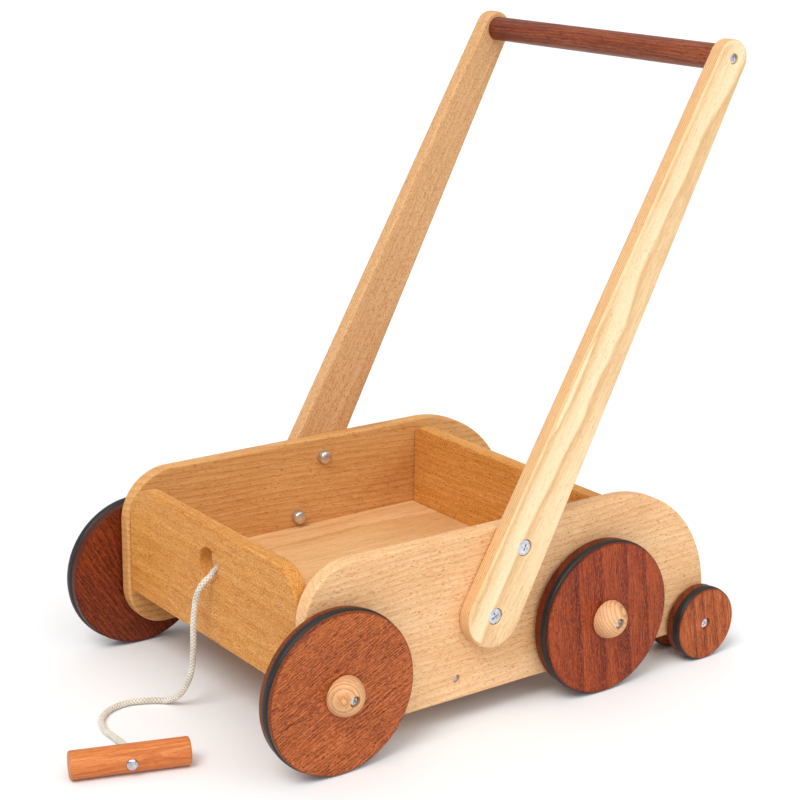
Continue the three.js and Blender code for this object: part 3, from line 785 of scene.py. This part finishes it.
WHEEL_LOOK = {
    "front_left": dict(turn=(0, -26, 0), seed=0.4, ring=1.5,
                       tones=((200, 112, 58), (156, 74, 32), (98, 38, 14))),
    "rear_left": dict(turn=(0, 84, 0), seed=3.6, ring=15.0,
                      tones=((172, 78, 34), (134, 50, 20), (80, 22, 8))),
    "front_right": dict(turn=(0, 58, 0), seed=7.9, ring=1.8,
                        tones=((146, 64, 24), (104, 38, 12), (64, 18, 6))),
    "rear_right": dict(turn=(0, -24, 0), seed=5.5, ring=1.6,
                       tones=((180, 92, 44), (142, 60, 24), (94, 34, 12))),
}
ring_rubber = rubber("wheel_rubber", 2.0)
polished = plated_steel("axle_steel", (linear(226, 226, 228), linear(196, 196, 200),
                                       linear(150, 150, 156)), 0.14, 21.0)
CAP_TONES = (linear(226, 180, 134), linear(210, 156, 108), linear(180, 122, 76),
             linear(156, 94, 56))
under_head = -AXLE_HEAD_T - 0.05
shaft_profile = [(0, -AXLE_L), (AXLE_R - 0.4, -AXLE_L), (AXLE_R, 0.6 - AXLE_L),
                 (AXLE_R, under_head), (0, under_head)]
for end, x in AXLE_X.items():
    for name, side in SIDES.items():
        tag = f"{end}_{name}"
        body = f"wheel_{tag}"
        seat = along_y(x, WHEEL_FACE_Y - DISC_T, AXLE_Z, side)
        look = WHEEL_LOOK[tag]
        tones = [linear(*tone) for tone in look["tones"]] + [linear(72, 24, 14)]
        groove = (GROOVE_AT[tag], GROOVE_W, GROOVE_DEEP)
        disc = turned(f"big_disc_{tag}",
                      disc_profile(DISC_R, DISC_T, *groove, DISC_BORE_R, DISC_EASE), 160, seat)
        wood = timber(f"wheel_sapele_{tag}", tones, turn=look["turn"], seed=look["seed"],
                      heart=(60, 90), ring=look["ring"], waver=1.5, rings=0.18, streaks=0.12,
                      fibres=0.72, clouds=0.14, fleck=1.1, fleck_size=(0.36, 2.3),
                      glinting_fleck=0.8, gloss=0.42, sharpness=1.55, rim=(x, AXLE_Z, DISC_R))
        dress(disc, wood, body, "sapele", f"wheel_disc_{tag}")
        ring = turned(f"big_ring_{tag}", ring_profile(DISC_R, RING_PROUD, *groove), 160, seat)
        dress(ring, ring_rubber, body, "rubber_ring", f"wheel_tyre_{tag}")

        rim = math.degrees(math.acos((HUB_MOUTH_R + 0.3) / HUB_R))
        mouth_height = HUB_R * math.sin(math.radians(rim)) - 0.3
        profile = [(BOLT_BORE_R, 0), (HUB_R - 0.5, 0), (HUB_R - 0.1, 0.4)]
        profile += arc((0, 0), HUB_R, 3, rim, 28)
        profile += [(HUB_MOUTH_R, mouth_height), (HUB_MOUTH_R, HUB_SEAT), (BOLT_BORE_R, HUB_SEAT)]
        cap = turned(f"cap_{tag}", profile, 72, along_y(x, WHEEL_FACE_Y + 0.3, AXLE_Z, side))
        wood = timber(f"cap_beech_{tag}", CAP_TONES, turn=(0, 66, 24), seed=2.4 + look["seed"],
                      heart=(16, 9), ring=2.2, rings=0.35, waver=0.4, fleck=0.4, gloss=0.4)
        dress(cap, wood, "frame", "beech", f"hub_cap_{tag}")
        axle = along_y(x, AXLE_HEAD_Y, AXLE_Z, side)
        bolt = button_head(f"axle_head_{tag}", AXLE_HEAD_R, AXLE_HEAD_T, axle)
        dress(bolt, polished, "frame", "polished_steel", f"axle_bolt_{tag}")
        shaft = turned(f"axle_shaft_{tag}", shaft_profile, 32, axle)
        dress(shaft, polished, "frame", "polished_steel")
        nut = domed_nut(f"axle_nut_dome_{tag}", along_y(x, NUT_Y, AXLE_Z, side))
        dress(nut, zinc_nut, "frame", "zinc_steel", f"axle_nut_{tag}")

# ---------------------------------------------------------------------------
# The small rear wheels: four 59 mm sapele discs with the same rubber rings,
# two on each bolt with the panel between them. The bolt's cross head sits in
# a recess in the outer one.
# ---------------------------------------------------------------------------
SMALL_R = 29.4
SMALL_T = 14.5
SMALL_FACE_Y = 148.8
SMALL_PITCH = 31.8
SMALL_TONES = ((188, 100, 48), (150, 68, 28), (100, 38, 14))
SMALL_SINK = (4.7, 4.0)
SMALL_GROOVE = (5.9, 7.3, 3.0)
SMALL_DISC_BORE_R = 2.85
SMALL_RING_PROUD = 0.6
SMALL_HEAD_Y = 147.5
SMALL_NUT_Y = 102.2
SMALL_BOLT = dict(radius=4.3, thick=2.4, crown=0.6, recess=1.5, shank=2.5, shank_l=46.0)
for name, side in SIDES.items():
    for place, shift in (("outer", 0.0), ("inner", SMALL_PITCH)):
        tag = f"{name}_{place}"
        body = f"small_wheel_{tag}"
        seat = along_y(SMALL_AXLE[0], SMALL_FACE_Y - SMALL_T - shift, SMALL_AXLE[1], side)
        disc = turned(f"small_disc_{tag}",
                      disc_profile(SMALL_R, SMALL_T, *SMALL_GROOVE, SMALL_DISC_BORE_R, DISC_EASE,
                                   SMALL_SINK), 96, seat)
        tones = [linear(*tone) for tone in SMALL_TONES] + [linear(84, 30, 16)]
        wood = timber(f"small_sapele_{tag}", tones, turn=(0, 80 + shift, 0), seed=4.1 + side + shift,
                      heart=(70, 40), ring=8.0, rings=0.14, streaks=0.16, fibres=0.65,
                      fleck=0.95, fleck_size=(0.3, 2.0), glinting_fleck=0.6, gloss=0.42,
                      sharpness=1.5, rim=(*SMALL_AXLE, SMALL_R))
        dress(disc, wood, body, "sapele", f"small_wheel_disc_{tag}")
        ring = turned(f"small_ring_{tag}",
                      ring_profile(SMALL_R, SMALL_RING_PROUD, *SMALL_GROOVE), 96, seat)
        dress(ring, ring_rubber, body, "rubber_ring", f"small_wheel_tyre_{tag}")
    bolt = screw_head(f"small_axle_head_{name}",
                      along_y(SMALL_AXLE[0], SMALL_HEAD_Y, SMALL_AXLE[1], side), 30, **SMALL_BOLT)
    dress(bolt, zinc_screw, "frame", "zinc_steel", f"small_axle_bolt_{name}")
    nut = domed_nut(f"small_nut_dome_{name}",
                    along_y(SMALL_AXLE[0], SMALL_NUT_Y, SMALL_AXLE[1], side))
    dress(nut, zinc_nut, "frame", "zinc_steel", f"small_axle_nut_{name}")

# ---------------------------------------------------------------------------
# The pull cord: a limp 4.8 mm cotton braid, pinned behind the front board,
# led out through the hole and down to the floor, and into the side of a
# stained turned grip, where a domed rivet holds it.
# ---------------------------------------------------------------------------
CORD_D = 4.8
CORD_LIE = 2.6
GRIP_R = 10.3
GRIP_L = 85.0
GRIP_CENTRE = Vector((280.6, 61.3, 10.5))
GRIP_ACROSS = Vector((math.cos(math.radians(71.5)), math.sin(math.radians(71.5)), 0))
CORD_ROUTE = [Vector(point) for point in (
    (164.9, -3, 86), (164.9, -2.9, 92.5), (164.7, -2.4, 99.9), (166.7, -1.2, 106.4),
    (171.1, 1, 109.4), (176.8, 4.4, 109), (182.6, 8.2, 107.2), (188.2, 7.6, 103),
    (192.2, 5.6, 94.5), (194, 4.2, 82), (194.8, 3.6, 67), (195.1, 3.2, 50), (195.6, 1.2, 33.5),
    (197.6, -4.8, 18.5), (200.9, -12.4, 8), (206.4, -21.8, CORD_LIE), (216.8, -29.2, CORD_LIE),
    (231.8, -34.4, CORD_LIE), (248.6, -30.6, CORD_LIE), (260.6, -19.7, CORD_LIE),
    (266.6, -3.4, CORD_LIE), (267.2, 15, 3.4), (270, 31, 6.4), (274.2, 43.4, 9.6),
)]
CORD_ROUTE += [GRIP_CENTRE - GRIP_ACROSS * back for back in (11.3, 7.3, 3.3)]
STRANDS = 8
BRAID_PITCH = 11.0
STRAND_RISE = 0.5
CORD_STEP = 0.45
GRIP_EASE = 1.4
RIVET_R = 4.2
PIN_AT = Vector((159.7, -3.0, 83.2))
CORD_PIN = dict(radius=6.5, thick=2.5, crown=0.8, recess=1.8, shank=2.0, shank_l=15.5)


def smooth_route(points, step):
    """A curve through every point, cut into short even steps."""
    ends = [2 * points[0] - points[1], *points, 2 * points[-1] - points[-2]]
    fine = []
    for a, b, c, d in zip(ends, ends[1:], ends[2:], ends[3:]):
        t0 = 0.0
        t1 = t0 + (b - a).length ** 0.5
        t2 = t1 + (c - b).length ** 0.5
        t3 = t2 + (d - c).length ** 0.5
        for i in range(40):
            t = t1 + (t2 - t1) * i / 40
            a1 = a.lerp(b, (t - t0) / (t1 - t0))
            a2 = b.lerp(c, (t - t1) / (t2 - t1))
            a3 = c.lerp(d, (t - t2) / (t3 - t2))
            b1 = a1.lerp(a2, (t - t0) / (t2 - t0))
            b2 = a2.lerp(a3, (t - t1) / (t3 - t1))
            spot = b1.lerp(b2, (t - t1) / (t2 - t1))
            spot.z = max(spot.z, CORD_LIE)
            fine.append(spot)
    fine.append(points[-1].copy())
    even, travelled, due = [fine[0]], 0.0, step
    for here, there in zip(fine, fine[1:]):
        span = (there - here).length
        while span and travelled + span >= due:
            even.append(here.lerp(there, (due - travelled) / span))
            due += step
        travelled += span
    if (even[-1] - fine[-1]).length > 0.3 * step:
        even.append(fine[-1])
    else:
        even[-1] = fine[-1]
    return even, travelled


def braided_cord(name, line, step):
    """A tube whose skin rises over each strand, as two families of strands cross."""
    work = bmesh.new()
    proud = work.verts.layers.float.new("proud")
    sides = 40
    heading = (line[1] - line[0]).normalized()
    up = heading.orthogonal().normalized()
    rings = []
    for k, centre in enumerate(line):
        ahead = line[min(k + 1, len(line) - 1)] - line[max(k - 1, 0)]
        ahead.normalize()
        up = (up - ahead * up.dot(ahead)).normalized()
        aside = ahead.cross(up)
        ring = []
        run = 2 * math.pi * k * step / BRAID_PITCH
        for i in range(sides):
            angle = 2 * math.pi * i / sides
            one = STRANDS / 2 * (angle + run)
            two = STRANDS / 2 * (angle - run)
            first = abs(math.cos(one / 2)) ** 0.8
            second = abs(math.cos(two / 2)) ** 0.8
            over = 0.5 + 0.5 * math.tanh(4 * math.cos(one / 2) * math.cos(two / 2))
            rise = STRAND_RISE * (over * first + (1 - over) * second)
            radius = CORD_D / 2 - STRAND_RISE + rise
            spot = centre + (up * math.cos(angle) + aside * math.sin(angle)) * radius
            ring.append(work.verts.new(spot * MM))
            ring[-1][proud] = rise / STRAND_RISE
        rings.append(ring)
    for lower, upper in zip(rings, rings[1:]):
        for i in range(sides):
            j = (i + 1) % sides
            work.faces.new([lower[i], lower[j], upper[j], upper[i]])
    work.faces.new(rings[0][::-1])
    work.faces.new(rings[-1])
    bmesh.ops.recalc_face_normals(work, faces=work.faces)
    for face in work.faces:
        face.smooth = len(face.verts) == 4
    mesh = bpy.data.meshes.new(name)
    work.to_mesh(mesh)
    work.free()
    return add_piece(name, mesh)


def cotton(name):
    """Undyed cotton: each strand's fine yarns, a little dirt and fuzz, and painted shade in the
    valleys between strands.
    """
    b = Board(name)
    fine = b.mapped(b.place, stretch=(1000, 1000, 1000))
    yarn = b.noise(fine, 3.6, 3.0, 0.7)
    soil = b.noise(fine, 0.12, 4.0, 0.6)
    tone = b.sum(b.sum(yarn, 0.5, "MULTIPLY"), b.sum(soil, 0.5, "MULTIPLY"))
    colour = b.ramp(tone, (0.32, linear(190, 180, 160)), (0.5, linear(226, 219, 203)),
                    (0.68, linear(246, 242, 232)))
    proud = b.node("Attribute", attribute_name="proud").outputs["Fac"]
    # Painted shade: darker where the skin dips between strands.
    valley_shade = b.ramp(proud, (0.2, linear(150, 136, 112)), (0.75, linear(255, 255, 255)))
    b.link(b.blend(1.0, colour, valley_shade, "MULTIPLY"), b.shader.inputs["Base Color"])
    b.link(b.ramp(yarn, (0.3, 0.75), (0.7, 0.95)), b.shader.inputs["Roughness"])
    b.bump(yarn, 0.5, 0.2)
    b.shader.inputs["Sheen Weight"].default_value = 0.35
    b.shader.inputs["Sheen Roughness"].default_value = 0.6
    return b.material


cord_line, cord_run = smooth_route(CORD_ROUTE, CORD_STEP)
cord = braided_cord("braid", cord_line, CORD_STEP)
cord_cotton = cotton("braid_cotton")
dress(cord, cord_cotton, "frame", "cotton_cord", "pull_cord")

grip_turn = Matrix((
    (GRIP_ACROSS.x, GRIP_ACROSS.y, 0, 0),
    (GRIP_ACROSS.y, -GRIP_ACROSS.x, 0, 0),
    (0, 0, -1, 0),
    (0, 0, 0, 1),
))
grip_seat = Matrix.Translation(GRIP_CENTRE * MM) @ grip_turn
grip_profile = [(0, -GRIP_L / 2)]
grip_profile += arc((GRIP_R - GRIP_EASE, GRIP_EASE - GRIP_L / 2), GRIP_EASE, -90, 0, 6)
grip_profile += [(GRIP_R, GRIP_L * i / 8) for i in (-2, -1, 0, 1, 2)]
grip_profile += arc((GRIP_R - GRIP_EASE, GRIP_L / 2 - GRIP_EASE), GRIP_EASE, 0, 90, 6)
grip_profile += [(0, GRIP_L / 2)]
lay_down = Matrix.Rotation(math.radians(-90), 4, "X")
grip = turned("grip", grip_profile, 72, grip_seat @ lay_down)
bore_profile = [(0, 2), (2.7, 2), (2.7, 9.8), (3.0, 10.1), (3.6, 10.6), (3.6, 14), (0, 14)]
bore = turned("bore", bore_profile, 32, grip_seat @ Matrix.Rotation(math.radians(-90), 4, "Y"))
drilled(grip, bore)
GRIP_TONES = (linear(218, 140, 80), linear(198, 112, 58), linear(168, 84, 40), linear(132, 58, 26))
dress(grip, timber("grip_stained", GRIP_TONES, turn=(0, 0, -161.5), seed=1.9, heart=(18, 30),
                   ring=2.0, fleck=0.45, fleck_size=(0.16, 2.2), gloss=0.4),
      "frame", "stained_wood", "pull_grip")

rivet_profile = [(0, -6), (1.7, -6), (1.8, -5.8), (1.8, 0), (RIVET_R - 0.2, 0), (RIVET_R, 0.2)]
rivet_profile += [(RIVET_R * math.cos(a), 0.2 + 1.6 * math.sin(a))
                  for a in (math.radians(90 * i / 8) for i in range(1, 8))]
rivet_profile += [(0, 1.8)]
rivet_seat = grip_seat @ Matrix.Translation((GRIP_R * MM + 0.0003, 0, 0))
rivet = turned("rivet", rivet_profile, 48, rivet_seat @ Matrix.Rotation(math.radians(90), 4, "Y"))
dress(rivet, polished, "frame", "polished_steel", "grip_rivet")
pin_seat = Matrix.Translation(PIN_AT * MM) @ Matrix.Rotation(math.radians(-90), 4, "Y")
pin = screw_head("cord_pin", pin_seat, 20, **CORD_PIN)
dress(pin, zinc_screw, "frame", "zinc_steel", "cord_anchor_screw")

# ---------------------------------------------------------------------------
# The studio: a wide pale floor, an even bright surround, one soft key from the
# walker's front left and above, a weaker fill, and the camera.
# ---------------------------------------------------------------------------
FLOOR_SIZE = 16.0
CAMERA_AT = Vector((0.85461, 1.15624, 0.62510))
CAMERA_AZIMUTH = math.radians(143.71)
CAMERA_RISE = math.radians(16.06)
CAMERA_ROLL = math.radians(0.76)


def studio_floor():
    """A wide sheet of pale paper."""
    work = bmesh.new()
    bmesh.ops.create_grid(work, x_segments=8, y_segments=8, size=FLOOR_SIZE)
    mesh = bpy.data.meshes.new("studio_floor")
    work.to_mesh(mesh)
    work.free()
    floor = add_piece("studio_floor", mesh)
    b = Board("studio_paper")
    tone = b.noise(b.place, 3.0, 3.0)
    b.link(b.ramp(tone, (0.3, 0.86), (0.7, 0.88)), b.shader.inputs["Base Color"])
    b.link(b.ramp(tone, (0.3, 0.8), (0.7, 0.9)), b.shader.inputs["Roughness"])
    b.shader.inputs["Specular IOR Level"].default_value = 0.1
    mesh.materials.append(b.material)


def sun(name, azimuth, rise, strength, spread, tint=(1, 1, 1)):
    """A far soft lamp; azimuth and rise say where it stands, in degrees."""
    light = bpy.data.lights.new(name, "SUN")
    light.energy = strength
    light.angle = math.radians(spread)
    light.color = tint
    lamp = bpy.data.objects.new(name, light)
    bpy.context.scene.collection.objects.link(lamp)
    a, e = math.radians(azimuth), math.radians(rise)
    back = Vector((math.sin(a) * math.cos(e), -math.cos(a) * math.cos(e), math.sin(e)))
    lamp.rotation_euler = (-back).to_track_quat("-Z", "Y").to_euler()


def surround():
    """An even glow all round, brighter towards the top."""
    world = bpy.data.worlds.new("surround")
    bpy.context.scene.world = world
    world.use_nodes = True
    tree = world.node_tree
    tree.nodes.clear()
    place = tree.nodes.new("ShaderNodeTexCoord")
    split = tree.nodes.new("ShaderNodeSeparateXYZ")
    band = tree.nodes.new("ShaderNodeValToRGB")
    glow = tree.nodes.new("ShaderNodeBackground")
    out = tree.nodes.new("ShaderNodeOutputWorld")
    band.color_ramp.elements[0].position = 0.0
    band.color_ramp.elements[0].color = (0.40, 0.41, 0.43, 1)
    band.color_ramp.elements[1].position = 0.7
    band.color_ramp.elements[1].color = (1, 1, 1, 1)
    tree.links.new(place.outputs["Generated"], split.inputs[0])
    tree.links.new(split.outputs["Z"], band.inputs["Fac"])
    tree.links.new(band.outputs["Color"], glow.inputs["Color"])
    glow.inputs["Strength"].default_value = 0.8
    tree.links.new(glow.outputs["Background"], out.inputs["Surface"])


studio_floor()
surround()
sun("key", 118, 52, 1.65, 28)
sun("fill", 178, 34, 0.85, 60, (0.98, 0.99, 1.0))

camera_data = bpy.data.cameras.new("camera")
camera_data.lens = 86.63
camera_data.sensor_width = 36
camera = bpy.data.objects.new("camera", camera_data)
bpy.context.scene.collection.objects.link(camera)
back = Vector((math.sin(CAMERA_AZIMUTH) * math.cos(CAMERA_RISE),
               -math.cos(CAMERA_AZIMUTH) * math.cos(CAMERA_RISE), math.sin(CAMERA_RISE)))
right = (-back).cross(Vector((0, 0, 1))).normalized()
above = back.cross(right)
rolled_right = right * math.cos(CAMERA_ROLL) + above * math.sin(CAMERA_ROLL)
rolled_up = above * math.cos(CAMERA_ROLL) - right * math.sin(CAMERA_ROLL)
camera.matrix_world = Matrix.Translation(CAMERA_AT) @ Matrix((
    (rolled_right.x, rolled_up.x, back.x, 0),
    (rolled_right.y, rolled_up.y, back.y, 0),
    (rolled_right.z, rolled_up.z, back.z, 0),
    (0, 0, 0, 1),
))
bpy.context.scene.camera = camera
bpy.context.scene.view_settings.view_transform = "Standard"
